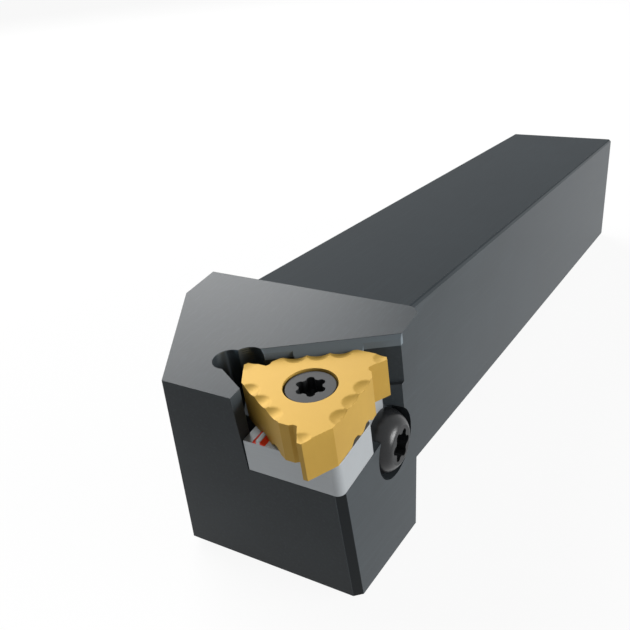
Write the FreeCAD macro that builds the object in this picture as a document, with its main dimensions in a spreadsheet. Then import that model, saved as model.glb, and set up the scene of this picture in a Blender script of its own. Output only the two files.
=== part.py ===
import FreeCAD, Part
import math
import os
import Sketcher

# Lay-down threading tool holder with its shim, insert and screws.
# Row frame: +Z up, +Y back along the shank, +X to the right seen from the cutting end.
# The origin lies on the base face of the shank, midway along and across it.
# The seat frame turns about X by the seat tilt. Its origin lies where the axis of
# the insert screw meets the seat floor, and its Z axis points out of the seat.

os.makedirs("parts", exist_ok=True)
doc = FreeCAD.newDocument("tool_holder")

# Driving dimensions in millimetres and degrees
DIMENSIONS = {
    # shank
    "shank_width": 25.0,
    "shank_height": 25.0,
    "shank_length": 122.6,
    "shank_chamfer": 0.5,
    "end_chamfer": 0.7,
    # head
    "head_proud": 1.4,
    "head_overhang": 7.8,
    "head_drop": 8.5,
    "head_reach": 25.3,
    "head_side_flat": 6.6,
    "head_side_slant": 30.0,
    "head_rear_chamfer": 1.2,
    "head_corner_bevel": 1.0,
    "front_relief": 12.0,
    # seat pocket
    "seat_tilt": 10.0,
    "seat_to_side": 6.42,
    "seat_to_front": 6.75,
    "insert_sink": 1.05,
    "wall_clearance": 0.05,
    "contact_pad_start": 2.2,
    "contact_pad_end": 6.7,
    "wall_recess_depth": 0.6,
    "wall_ledge_drop": 0.5,
    "wall_bevel_width": 1.0,
    "wall_bevel_depth": 1.6,
    "pad_end_round": 0.5,
    "side_wall_gap": 1.15,
    "finger_to_seat": 6.85,
    "corner_relief_radius": 2.1,
    "corner_relief_along": 11.75,
    "corner_relief_across": 0.1,
    "tooth_relief_radius": 2.2,
    "tooth_relief_along": 9.7,
    "tooth_relief_across": 1.16,
    "relief_below_seat": 0.6,
    # shim
    "shim_thickness": 4.8,
    "shim_clearance": 0.12,
    "shim_flank": 4.15,
    "shim_shoulder_low": 2.2,
    "shim_shoulder_high": 3.2,
    "shim_corner_round": 1.1,
    "shim_shoulder_round": 0.7,
    "shim_left_end": 10.8,
    "shim_left_low": 0.16,
    "shim_notch_left": 9.45,
    "shim_notch_right": 7.3,
    "shim_notch_top": 2.1,
    "shim_notch_bottom": 3.0,
    "rail_from_centre": 4.47,
    "rail_foot": 1.92,
    "rail_top": 0.58,
    "rail_height": 0.5,
    "shim_bore_radius": 3.0,
    "shim_counterbore_radius": 4.15,
    "shim_counterbore_floor": 3.75,
    "shim_counterbore_depth": 1.3,
    # insert
    "insert_circle": 12.7,
    "insert_thickness": 5.6,
    "tooth_reach": 9.46,
    "tooth_from_side": 2.33,
    "tooth_crest": 0.6,
    "tooth_flank_angle": 30.0,
    "tooth_root": 7.1,
    "notch_root": 7.4,
    "notch_start": 1.4,
    "notch_end": 1.8,
    "groove_clearance": 0.06,
    "groove_extra_depth": 0.12,
    "insert_bore_radius": 2.72,
    "insert_bore_lead": 3.7,
    "insert_bore_lead_depth": 1.0,
    "chip_scallop_radius": 3.4,
    "chip_scallop_depth": 0.36,
    "chip_scallop_pitch": 2.9,
    "chip_scallop_middle": 1.0,
    "tooth_scoop_radius": 4.0,
    "tooth_scoop_depth": 0.22,
    "tooth_scoop_back": 0.55,
    # insert screw
    "screw_head_radius": 3.33,
    "screw_rim": 0.7,
    "screw_cone": 2.2,
    "screw_edge_break": 0.23,
    "screw_neck_radius": 1.8,
    "screw_neck_round": 1.26,
    "screw_thread_radius": 2.5,
    "screw_to_thread": 6.5,
    "screw_thread_length": 10.3,
    "screw_tip_chamfer": 0.8,
    "screw_sink": 0.25,
    "screw_seat_clearance": 0.08,
    "thread_clearance": 0.05,
    "thread_hole_depth": 8.5,
    "screw_socket_radius": 1.95,
    "screw_socket_depth": 1.9,
    # shim screw
    "side_screw_back": 8.23,
    "side_screw_down": 1.7,
    "side_screw_head_radius": 4.4,
    "side_screw_head_height": 3.1,
    "side_screw_rim": 0.7,
    "side_screw_face_radius": 2.75,
    "side_screw_dome_radius": 3.85,
    "side_screw_dome_height": 2.0,
    "side_screw_dome_round": 0.7,
    "side_screw_recess_gap": 0.45,
    "side_screw_thread_radius": 2.0,
    "side_screw_length": 9.0,
    "side_screw_hole_spare": 2.0,
    "side_screw_tip_chamfer": 0.6,
    "side_screw_socket_radius": 2.25,
    "side_screw_socket_depth": 1.8,
}

sheet = doc.addObject("Spreadsheet::Sheet", "Dims")
for row, (alias, size) in enumerate(DIMENSIONS.items(), start=1):
    sheet.set(f"A{row}", alias)
    sheet.set(f"B{row}", str(size))
    sheet.setAlias(f"B{row}", alias)
doc.recompute()


def dim(alias):
    """The expression that reads one cell of the sheet."""
    return f"Dims.{alias}"


def value(expression):
    """The number that an expression has now."""
    return float(sheet.evalExpression(expression))


# Lengths that follow from the driving dimensions
TILT = dim("seat_tilt")
HEAD_REAR = f"(-{dim('shank_length')} / 2)"
HEAD_RIGHT = f"({dim('shank_width')} / 2 + {dim('head_proud')})"
HEAD_LEFT = f"(-{dim('shank_width')} / 2 - {dim('head_overhang')})"
TOP_FRONT_Y = f"({HEAD_REAR} - {dim('head_reach')} * cos({TILT}))"
TOP_FRONT_Z = f"({dim('shank_height')} - {dim('head_reach')} * sin({TILT}))"
FRONT_FALL = f"({TOP_FRONT_Z} + {dim('head_drop')})"
BASE_FRONT_Y = f"({TOP_FRONT_Y} + {FRONT_FALL} * tan({dim('front_relief')}))"
SLANT_START_Y = f"({HEAD_REAR} - {dim('head_side_flat')})"
INSERT_RADIUS = f"({dim('insert_circle')} / 2)"
TOOTH_TIP = f"({INSERT_RADIUS} - {dim('tooth_from_side')})"
SEAT_BACK = f"({dim('head_reach')} - {dim('seat_to_front')})"
SEAT_DEPTH = f"({dim('insert_sink')} + {dim('insert_thickness')} + {dim('shim_thickness')})"
SEAT_X = f"({HEAD_RIGHT} - {dim('seat_to_side')})"
SEAT_Y = f"({HEAD_REAR} - {SEAT_BACK} * cos({TILT}) + {SEAT_DEPTH} * sin({TILT}))"
SEAT_Z = f"({dim('shank_height')} - {SEAT_BACK} * sin({TILT}) - {SEAT_DEPTH} * cos({TILT}))"
SIDE_SCREW_SEAT_X = f"({SEAT_X} + {dim('shim_flank')})"
SIDE_SCREW_Y = f"({SEAT_Y} + {dim('side_screw_back')})"
SIDE_SCREW_Z = f"({SEAT_Z} - {dim('side_screw_down')})"
# How far a cut runs on past the solid it opens into
PAST = f"({dim('shank_width')} * 2)"


def above_seat(height):
    """The row-frame place of a point on the seat axis, as three expressions."""
    return SEAT_X, f"({SEAT_Y} - ({height}) * sin({TILT}))", f"({SEAT_Z} + ({height}) * cos({TILT}))"


def origin_feature(body, role):
    """One origin plane or axis of a body."""
    return next(part for part in body.Origin.OriginFeatures if part.Role == role)


def new_body(name):
    """A body whose label is the node's name."""
    body = doc.addObject("PartDesign::Body", name)
    body.Label = name
    return body


def place(body, position, tilt=None):
    """Bind a body's placement to a place and, if given, a turn about X."""
    for axis, expression in zip("xyz", position):
        body.setExpression(f"Placement.Base.{axis}", expression)
    if tilt:
        turn = FreeCAD.Rotation(FreeCAD.Vector(1, 0, 0), 1)
        body.Placement = FreeCAD.Placement(body.Placement.Base, turn)
        body.setExpression("Placement.Rotation.Angle", tilt)


def new_sketch(body, name, role, position=None, turn=None, turn_axis=(1, 0, 0)):
    """A sketch on an origin plane, moved and turned by expressions where they are given."""
    sketch = body.newObject("Sketcher::SketchObject", name)
    sketch.AttachmentSupport = (origin_feature(body, role), "")
    sketch.MapMode = "FlatFace"
    if turn:
        turned = FreeCAD.Rotation(FreeCAD.Vector(*turn_axis), 1)
        sketch.AttachmentOffset = FreeCAD.Placement(FreeCAD.Vector(), turned)
        sketch.setExpression("AttachmentOffset.Rotation.Angle", turn)
    for axis, expression in zip("xyz", position or ()):
        if expression:
            sketch.setExpression(f"AttachmentOffset.Base.{axis}", expression)
    return sketch


def pin(sketch, geometry, point, x, y):
    """Hold one point of a sketch at two expressions from the sketch's origin."""
    for kind, expression in (("DistanceX", x), ("DistanceY", y)):
        constraint = Sketcher.Constraint(kind, -1, 1, geometry, point, value(expression))
        sketch.setExpression(f"Constraints[{sketch.addConstraint(constraint)}]", expression)


def add_polygon(sketch, points):
    """A closed outline of straight edges, with each corner held by two expressions."""
    corners = [FreeCAD.Vector(value(x), value(y), 0) for x, y in points]
    first = sketch.GeometryCount
    for start, end in zip(corners, corners[1:] + corners[:1]):
        sketch.addGeometry(Part.LineSegment(start, end), False)
    for index, (x, y) in enumerate(points):
        following = first + (index + 1) % len(points)
        sketch.addConstraint(Sketcher.Constraint("Coincident", first + index, 2, following, 1))
        pin(sketch, first + index, 1, x, y)


def add_circle(sketch, x, y, radius):
    """A circle whose centre and radius are held by expressions."""
    centre = FreeCAD.Vector(value(x), value(y), 0)
    circle = sketch.addGeometry(Part.Circle(centre, FreeCAD.Vector(0, 0, 1), value(radius)), False)
    pin(sketch, circle, 3, x, y)
    held = sketch.addConstraint(Sketcher.Constraint("Radius", circle, value(radius)))
    sketch.setExpression(f"Constraints[{held}]", radius)


def pad(body, name, sketch, length, reverse=False, both_ways=False):
    """Add the material of a sketch along its normal."""
    feature = body.newObject("PartDesign::Pad", name)
    feature.Profile = sketch
    feature.setExpression("Length", length)
    feature.Reversed = reverse
    feature.Midplane = both_ways
    return settle(body, feature)


def pocket(body, name, sketch, length, reverse=False, both_ways=False, taper=None):
    """Cut the outline of a sketch, and make sure that material went."""
    before = body.Shape.Volume
    feature = body.newObject("PartDesign::Pocket", name)
    feature.Profile = sketch
    feature.setExpression("Length", length)
    feature.Reversed = reverse
    feature.Midplane = both_ways
    if taper:
        feature.setExpression("TaperAngle", taper)
    settle(body, feature)
    if body.Shape.Volume >= before - 1e-6:
        raise RuntimeError(f"{name} cuts nothing")
    return feature


def revolve(body, kind, name, sketch, axis):
    """Turn a half section through a full circle, to add or to cut."""
    before = body.Shape.Volume if body.Tip else 0.0
    feature = body.newObject(f"PartDesign::{kind}", name)
    feature.Profile = sketch
    feature.ReferenceAxis = (sketch, [axis])
    feature.Angle = 360.0
    settle(body, feature)
    if kind == "Groove" and body.Shape.Volume >= before - 1e-6:
        raise RuntimeError(f"{name} cuts nothing")
    return feature


def polar_pattern(body, name, originals, axis_role, count):
    """Repeat cuts round an origin axis of the body."""
    feature = body.newObject("PartDesign::PolarPattern", name)
    feature.Originals = originals
    feature.Axis = (origin_feature(body, axis_role), [""])
    feature.Angle = 360.0
    feature.Occurrences = count
    return settle(body, feature)


def settle(body, feature):
    """Make a new feature the body's result and work it out."""
    body.Tip = feature
    doc.recompute()
    return feature


def upright_edges(feature, points, tolerance=0.05):
    """The names of the edges along Z that stand at the given points."""
    names = []
    wanted = [(value(x), value(y)) for x, y in points]
    for number, edge in enumerate(feature.Shape.Edges, start=1):
        ends = [vertex.Point for vertex in edge.Vertexes]
        if len(ends) < 2 or math.hypot(ends[0].x - ends[1].x, ends[0].y - ends[1].y) > tolerance:
            continue
        if any(math.hypot(ends[0].x - x, ends[0].y - y) < tolerance for x, y in wanted):
            names.append(f"Edge{number}")
    return names


def round_edges(body, name, base, edges, radius):
    """Round named edges of a feature."""
    feature = body.newObject("PartDesign::Fillet", name)
    feature.Base = (base, edges)
    feature.setExpression("Radius", radius)
    return settle(body, feature)


def edges_on_line(feature, point, direction, tolerance=0.02):
    """The names of the straight edges that lie on a line."""
    start = FreeCAD.Vector(*point)
    along = FreeCAD.Vector(*direction).normalize()
    names = []
    for number, edge in enumerate(feature.Shape.Edges, start=1):
        ends = [vertex.Point for vertex in edge.Vertexes]
        if len(ends) == 2 and all((end - start).cross(along).Length < tolerance for end in ends):
            names.append(f"Edge{number}")
    return names


def ring_edges(feature, axis, radius, place_on_axis, tolerance=0.01):
    """The names of the circular edges of a turned piece at one radius and one place."""
    names = []
    for number, edge in enumerate(feature.Shape.Edges, start=1):
        curve = edge.Curve
        if not isinstance(curve, Part.Circle) or abs(curve.Radius - radius) > tolerance:
            continue
        if abs(getattr(curve.Center, axis) - place_on_axis) < tolerance:
            names.append(f"Edge{number}")
    return names


def on_wall(along, outward):
    """A point given along the stop wall and outward from the seat axis, as seat X and Y."""
    return (
        f"(({along}) * cos(30) - ({outward}) * sin(30))",
        f"(({along}) * sin(30) + ({outward}) * cos(30))",
    )


# A six-lobed socket's core and the rounds beside its lobes, as shares of the lobes' reach
SOCKET_CORE = 0.74
SOCKET_ROUND = 0.14


def add_socket(body, name, role, axis_role, height, radius, depth):
    """A six-lobed drive socket, sunk from a face of the body."""
    core = new_sketch(body, f"{name}_core", role, position=(None, None, height))
    core_radius = f"({radius} * {SOCKET_CORE})"
    add_circle(core, "0", "0", core_radius)
    pocket(body, f"{name}_core_cut", core, depth)
    lobe = new_sketch(body, f"{name}_lobe", role, position=(None, None, height))
    add_circle(lobe, core_radius, "0", f"({radius} - {core_radius})")
    lobe_cut = pocket(body, f"{name}_lobe_cut", lobe, depth)
    lobes = polar_pattern(body, f"{name}_lobes", [lobe_cut], axis_role, 6)

    # The edges where the lobes meet the core lie at the core's radius, along the socket's axis
    corners = []
    for number, edge in enumerate(lobes.Shape.Edges, start=1):
        ends = [getattr(vertex.Point, axis_role[0].lower()) for vertex in edge.Vertexes]
        middle = edge.CenterOfGravity
        across = math.hypot(middle.y, middle.z if axis_role == "X_Axis" else middle.x)
        at_core = abs(across - value(core_radius)) < 1e-3
        if len(ends) == 2 and abs(abs(ends[0] - ends[1]) - value(depth)) < 1e-3 and at_core:
            corners.append(f"Edge{number}")
    round_edges(body, f"{name}_rounds", lobes, corners, f"{radius} * {SOCKET_ROUND}")


def seat_sketch(body, name, height="0"):
    """A sketch parallel to the seat floor, at a height above it."""
    return new_sketch(body, name, "XY_Plane", position=above_seat(height), turn=TILT)


# The stop wall stands at 30 degrees, as one side of the three-sided insert does
WALL = f"({INSERT_RADIUS} + {dim('wall_clearance')})"
SIDE_WALL = f"({INSERT_RADIUS} + {dim('side_wall_gap')})"
SHIM_FRONT = f"({dim('seat_to_front')} - {SEAT_DEPTH} * tan({dim('front_relief')} - {TILT}))"
SHIM_LEFT = f"({dim('finger_to_seat')} - {dim('shim_clearance')})"
SHIM_BACK = f"({WALL} - {dim('shim_clearance')})"


def back_line(distance, x):
    """Seat Y of a line parallel to the stop wall, at seat X."""
    return f"({distance} / cos(30) + ({x}) * tan(30))"


def side_line(distance, x):
    """Seat Y of a line parallel to the side wall, at seat X."""
    return f"(-{distance} / cos(30) - ({x}) * tan(30))"


def make_holder():
    """The shank and head, machined from one bar."""
    body = new_body("holder")

    profile = new_sketch(body, "head_side_view", "YZ_Plane", position=(None, None, HEAD_LEFT))
    add_polygon(profile, [
        (BASE_FRONT_Y, f"-{dim('head_drop')}"),
        (HEAD_REAR, f"-{dim('head_drop')}"),
        (HEAD_REAR, dim("shank_height")),
        (TOP_FRONT_Y, TOP_FRONT_Z),
    ])
    head = pad(body, "head", profile, f"{HEAD_RIGHT} - {HEAD_LEFT}")
    front_corner = (value(HEAD_RIGHT), value(TOP_FRONT_Y), value(TOP_FRONT_Z))
    front_slope = (0, value(f"{BASE_FRONT_Y} - {TOP_FRONT_Y}"), -value(FRONT_FALL))
    bevel = body.newObject("PartDesign::Chamfer", "corner_bevel")
    bevel.Base = (head, edges_on_line(head, front_corner, front_slope))
    bevel.setExpression("Size", dim("head_corner_bevel"))
    settle(body, bevel)

    slant = new_sketch(body, "side_slant_outline", "XY_Plane")
    slant_end = f"({TOP_FRONT_Y} - {dim('head_side_flat')})"
    slant_reach = f"(({SLANT_START_Y} - {slant_end}) * tan({dim('head_side_slant')}))"
    add_polygon(slant, [
        (HEAD_LEFT, SLANT_START_Y),
        (f"({HEAD_LEFT} + {slant_reach})", slant_end),
        (f"({HEAD_LEFT} - {dim('head_overhang')})", slant_end),
        (f"({HEAD_LEFT} - {dim('head_overhang')})", SLANT_START_Y),
    ])
    pocket(body, "side_slant", slant, f"{PAST} * 2", both_ways=True)

    rear = new_sketch(body, "rear_chamfer_outline", "XY_Plane")
    shank_side = f"({dim('shank_width')} / 2)"
    add_polygon(rear, [
        (shank_side, HEAD_REAR),
        (HEAD_RIGHT, f"({HEAD_REAR} - {dim('head_rear_chamfer')})"),
        (f"({HEAD_RIGHT} + {dim('head_proud')})", f"({HEAD_REAR} - {dim('head_rear_chamfer')})"),
        (f"({HEAD_RIGHT} + {dim('head_proud')})", HEAD_REAR),
    ])
    pocket(body, "rear_chamfer", rear, f"{PAST} * 2", both_ways=True)

    section = new_sketch(body, "shank_section", "XZ_Plane", position=(None, None, f"-{HEAD_REAR}"))
    inner = f"({dim('shank_width')} / 2 - {dim('shank_chamfer')})"
    low = dim("shank_chamfer")
    high = f"({dim('shank_height')} - {dim('shank_chamfer')})"
    add_polygon(section, [
        (f"-{inner}", "0"),
        (inner, "0"),
        (shank_side, low),
        (shank_side, high),
        (inner, dim("shank_height")),
        (f"-{inner}", dim("shank_height")),
        (f"-{shank_side}", high),
        (f"-{shank_side}", low),
    ])
    shank = pad(body, "shank", section, dim("shank_length"), reverse=True)
    end_edges = [
        f"Edge{number}"
        for number, edge in enumerate(shank.Shape.Edges, start=1)
        if all(abs(vertex.Point.y + value(HEAD_REAR)) < 1e-4 for vertex in edge.Vertexes)
    ]
    end = body.newObject("PartDesign::Chamfer", "shank_end_chamfer")
    end.Base = (shank, end_edges)
    end.setExpression("Size", dim("end_chamfer"))
    settle(body, end)

    make_seat(body)
    make_screw_holes(body)
    return body


def make_seat(body):
    """The open pocket in the head, with its stop wall, contact pad and relief bores."""
    finger = f"-{dim('finger_to_seat')}"
    open_front = f"(-{dim('seat_to_front')} - {dim('insert_circle')})"
    open_side = f"({dim('seat_to_side')} + {dim('insert_circle')})"
    corner = f"-{dim('corner_relief_along')}"
    tooth = f"-{dim('tooth_relief_along')}"

    outline = seat_sketch(body, "seat_outline")
    add_polygon(outline, [
        (finger, open_front),
        (finger, side_line(SIDE_WALL, finger)),
        (corner, side_line(SIDE_WALL, corner)),
        (corner, f"-{dim('corner_relief_across')}"),
        (tooth, back_line(WALL, tooth)),
        (open_side, back_line(WALL, open_side)),
        (open_side, open_front),
    ])
    pocket(body, "seat", outline, PAST, reverse=True)

    # On both sides of the contact pad the wall is set back, down to a narrow ledge
    inside = f"({WALL} - {dim('wall_recess_depth')})"
    set_back = f"({WALL} + {dim('wall_recess_depth')})"
    ledge = f"({dim('shim_thickness')} - {dim('wall_ledge_drop')})"
    pad_left = f"(-{dim('contact_pad_start')})"
    pad_right = dim("contact_pad_end")
    # The recesses and the bevel run on past both ends of the wall
    wall_left = f"(-{INSERT_RADIUS} - {dim('tooth_relief_radius')})"
    wall_right = f"({dim('insert_circle')} * 1.5)"
    recess = seat_sketch(body, "wall_recess_outline", ledge)
    add_polygon(recess, [
        on_wall(wall_left, inside),
        on_wall(pad_left, inside),
        on_wall(pad_left, set_back),
        on_wall(wall_left, set_back),
    ])
    add_polygon(recess, [
        on_wall(pad_right, inside),
        on_wall(wall_right, inside),
        on_wall(wall_right, set_back),
        on_wall(pad_right, set_back),
    ])
    recesses = pocket(body, "wall_recesses", recess, PAST, reverse=True)

    # The pad's upright ends are rounded
    seat_normal = (0, -value(f"sin({TILT})"), value(f"cos({TILT})"))
    edges = []
    for x, y in (on_wall(pad_left, WALL), on_wall(pad_right, WALL)):
        edges += edges_on_line(recesses, seat_point(x, y, ledge), seat_normal)
    round_edges(body, "pad_ends", recesses, edges, dim("pad_end_round"))

    # The bevel's cut narrows downwards, so its outline reaches well out over the open seat
    bevel = seat_sketch(body, "wall_bevel_outline", SEAT_DEPTH)
    bevel_back = f"({WALL} + {dim('wall_bevel_width')})"
    bevel_front = f"({WALL} - {dim('wall_bevel_width')} * 3)"
    add_polygon(bevel, [
        on_wall(f"({wall_left} - {dim('wall_bevel_width')})", bevel_front),
        on_wall(wall_right, bevel_front),
        on_wall(wall_right, bevel_back),
        on_wall(f"({wall_left} - {dim('wall_bevel_width')})", bevel_back),
    ])
    bevel_angle = f"atan({dim('wall_bevel_width')} / {dim('wall_bevel_depth')})"
    pocket(body, "wall_bevel", bevel, dim("wall_bevel_depth"), taper=f"-{bevel_angle}")

    for name, along, across, radius in (
        ("corner_relief", corner, f"-{dim('corner_relief_across')}", dim("corner_relief_radius")),
        ("tooth_relief", tooth, dim("tooth_relief_across"), dim("tooth_relief_radius")),
    ):
        bore = seat_sketch(body, f"{name}_circle", f"-{dim('relief_below_seat')}")
        add_circle(bore, along, across, radius)
        pocket(body, name, bore, PAST, reverse=True)


def seat_point(x, y, height):
    """The row-frame place of a point of the seat frame."""
    base_x, base_y, base_z = above_seat(height)
    return (
        value(f"{base_x} + {x}"),
        value(f"{base_y} + {y} * cos({TILT})"),
        value(f"{base_z} + {y} * sin({TILT})"),
    )


def make_screw_holes(body):
    """The thread hole under the seat, and the recess and thread hole in the right side."""
    thread = seat_sketch(body, "thread_hole_circle")
    add_circle(thread, "0", "0", f"({dim('screw_thread_radius')} + {dim('thread_clearance')})")
    pocket(body, "thread_hole", thread, dim("thread_hole_depth"))

    side = (None, None, SIDE_SCREW_SEAT_X)
    recess = new_sketch(body, "side_screw_recess_circle", "YZ_Plane", position=side)
    recess_radius = f"({dim('side_screw_head_radius')} + {dim('side_screw_recess_gap')})"
    add_circle(recess, SIDE_SCREW_Y, SIDE_SCREW_Z, recess_radius)
    pocket(body, "side_screw_recess", recess, PAST, reverse=True)

    hole = new_sketch(body, "side_screw_hole_circle", "YZ_Plane", position=side)
    hole_radius = f"({dim('side_screw_thread_radius')} + {dim('thread_clearance')})"
    add_circle(hole, SIDE_SCREW_Y, SIDE_SCREW_Z, hole_radius)
    hole_depth = f"{dim('side_screw_length')} + {dim('side_screw_hole_spare')}"
    pocket(body, "side_screw_hole", hole, hole_depth)


def make_shim():
    """The hard plate under the insert, with its rail and stepped hole."""
    body = new_body("shim")
    right = dim("seat_to_side")
    flank = dim("shim_flank")
    left_end = f"-{dim('shim_left_end')}"
    front_right = (right, f"-{SHIM_FRONT}")
    shoulder_outer = (right, dim("shim_shoulder_low"))
    shoulder_inner = (flank, dim("shim_shoulder_high"))

    outline = new_sketch(body, "shim_outline", "XY_Plane")
    add_polygon(outline, [
        (f"-{SHIM_LEFT}", f"-{SHIM_FRONT}"),
        front_right,
        shoulder_outer,
        shoulder_inner,
        (flank, back_line(SHIM_BACK, flank)),
        (left_end, back_line(SHIM_BACK, left_end)),
        (left_end, dim("shim_left_low")),
        (f"-{dim('shim_notch_left')}", f"-{dim('shim_notch_top')}"),
        (f"-{dim('shim_notch_right')}", f"-{dim('shim_notch_top')}"),
        (f"-{SHIM_LEFT}", f"-{dim('shim_notch_bottom')}"),
    ])
    plate = pad(body, "plate", outline, f"{dim('shim_thickness')} + {dim('rail_height')}")
    front_edge = upright_edges(plate, [front_right])
    rounded = round_edges(body, "front_corner", plate, front_edge, dim("shim_corner_round"))
    shoulder_edges = upright_edges(rounded, [shoulder_outer, shoulder_inner])
    round_edges(body, "shoulder", rounded, shoulder_edges, dim("shim_shoulder_round"))

    # Everything but the rail is cut down to the shim's top face
    top = dim("shim_thickness")
    crest = f"({top} + {dim('rail_height')})"
    past = f"({dim('insert_circle')} * 2)"
    around = new_sketch(body, "around_rail", "XZ_Plane")
    for side in ("-", "+"):
        foot = f"(-{dim('rail_from_centre')} {side} {dim('rail_foot')} / 2)"
        shoulder = f"(-{dim('rail_from_centre')} {side} {dim('rail_top')} / 2)"
        add_polygon(around, [
            (foot, top),
            (shoulder, crest),
            (f"({side}{past})", crest),
            (f"({side}{past})", top),
        ])
    pocket(body, "top_face", around, past, both_ways=True)

    hole = new_sketch(body, "stepped_hole_section", "XZ_Plane")
    step = f"({top} - {dim('shim_counterbore_depth')})"
    below = f"-{dim('rail_height')}"
    add_polygon(hole, [
        ("0", below),
        (dim("shim_bore_radius"), below),
        (dim("shim_bore_radius"), step),
        (dim("shim_counterbore_floor"), step),
        (dim("shim_counterbore_radius"), top),
        (dim("shim_counterbore_radius"), f"({crest} + {dim('rail_height')})"),
        ("0", f"({crest} + {dim('rail_height')})"),
    ])
    revolve(body, "Groove", "stepped_hole", hole, "V_Axis")
    place(body, (SEAT_X, SEAT_Y, SEAT_Z), TILT)
    return body


def turned(x, y, angle):
    """A point turned about the insert's centre."""
    return (
        f"(({x}) * cos({angle}) - ({y}) * sin({angle}))",
        f"(({x}) * sin({angle}) + ({y}) * cos({angle}))",
    )


def insert_corner(angle):
    """The outline of one corner of the insert: side notch, V tooth and flank."""
    tip = TOOTH_TIP
    half_crest = f"({dim('tooth_crest')} / 2)"
    slope = f"tan({dim('tooth_flank_angle')})"
    reach = dim("tooth_reach")
    root = dim("tooth_root")
    side_start = f"(({dim('notch_root')} * cos(30) - {INSERT_RADIUS}) / sin(30))"
    flank_foot = f"({tip} - {half_crest} - ({reach} - {root}) * {slope})"
    flank_end = f"(({INSERT_RADIUS} - {tip} - {half_crest}) / {slope} - {reach})"
    corner = [
        (side_start, f"-{dim('notch_root')}"),
        (dim("notch_start"), f"-{dim('notch_root')}"),
        (dim("notch_end"), f"-{root}"),
        (flank_foot, f"-{root}"),
        (f"({tip} - {half_crest})", f"-{reach}"),
        (f"({tip} + {half_crest})", f"-{reach}"),
        (INSERT_RADIUS, flank_end),
    ]
    return [turned(x, y, angle) for x, y in corner]


def add_hollow(body, name, x, y, radius, depth):
    """A shallow round hollow in the top face of the insert."""
    sphere = body.newObject("PartDesign::SubtractiveSphere", name)
    sphere.setExpression("Radius", radius)
    sphere.setExpression("Placement.Base.x", x)
    sphere.setExpression("Placement.Base.y", y)
    sphere.setExpression("Placement.Base.z", f"{dim('insert_thickness')} + {radius} - {depth}")
    return settle(body, sphere)


def make_insert():
    """The three-cornered cutting insert, with its grooves and countersunk hole."""
    body = new_body("insert")
    outline = new_sketch(body, "insert_outline", "XY_Plane")
    add_polygon(outline, insert_corner(0) + insert_corner(120) + insert_corner(240))
    pad(body, "blank", outline, dim("insert_thickness"))

    # One groove crosses the bisector of each corner, and takes the shim's rail
    clearance = dim("groove_clearance")
    roof = f"({dim('rail_height')} + {dim('groove_extra_depth')})"
    below = f"-{dim('rail_height')}"
    centre = f"-{dim('rail_from_centre')}"
    half_foot = f"({dim('rail_foot')} / 2 + {clearance})"
    half_roof = f"({dim('rail_top')} / 2 + {clearance})"
    groove = new_sketch(body, "groove_section", "XZ_Plane")
    add_polygon(groove, [
        (f"({centre} - {half_foot})", below),
        (f"({centre} + {half_foot})", below),
        (f"({centre} + {half_foot})", "0"),
        (f"({centre} + {half_roof})", roof),
        (f"({centre} - {half_roof})", roof),
        (f"({centre} - {half_foot})", "0"),
    ])
    groove_cut = pocket(body, "groove", groove, f"{dim('insert_circle')} * 3", both_ways=True)
    polar_pattern(body, "grooves", [groove_cut], "Z_Axis", 3)

    # Hollows scallop the top edge of each side, and one scoops out the rake face of each tooth
    scallop = (dim("chip_scallop_radius"), dim("chip_scallop_depth"))
    hollows = []
    for number, step in enumerate((-1, 0, 1), start=1):
        along = f"({step} * {dim('chip_scallop_pitch')} - {dim('chip_scallop_middle')})"
        hollows.append(add_hollow(body, f"scallop_{number}", INSERT_RADIUS, along, *scallop))
    scoop = (dim("tooth_scoop_radius"), dim("tooth_scoop_depth"))
    scoop_place = f"({dim('tooth_scoop_back')} - {dim('tooth_reach')})"
    hollows.append(add_hollow(body, "tooth_scoop", TOOTH_TIP, scoop_place, *scoop))
    polar_pattern(body, "hollows", hollows, "Z_Axis", 3)

    hole = new_sketch(body, "hole_section", "XZ_Plane")
    head_top = f"({dim('insert_thickness')} - {dim('screw_sink')})"
    head_gap = f"({dim('screw_head_radius')} + {dim('screw_seat_clearance')})"
    cone_start = f"({head_top} - {dim('screw_rim')})"
    cone_slope = f"({dim('screw_cone')} / ({dim('screw_head_radius')} - {dim('screw_neck_radius')}))"
    cone_end = f"({cone_start} - ({head_gap} - {dim('insert_bore_radius')}) * {cone_slope})"
    above = f"({dim('insert_thickness')} + {dim('screw_rim')})"
    add_polygon(hole, [
        ("0", below),
        (dim("insert_bore_lead"), below),
        (dim("insert_bore_lead"), "0"),
        (dim("insert_bore_radius"), dim("insert_bore_lead_depth")),
        (dim("insert_bore_radius"), cone_end),
        (head_gap, cone_start),
        (head_gap, above),
        ("0", above),
    ])
    revolve(body, "Groove", "hole", hole, "V_Axis")
    place(body, above_seat(dim("shim_thickness")), TILT)
    return body


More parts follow.
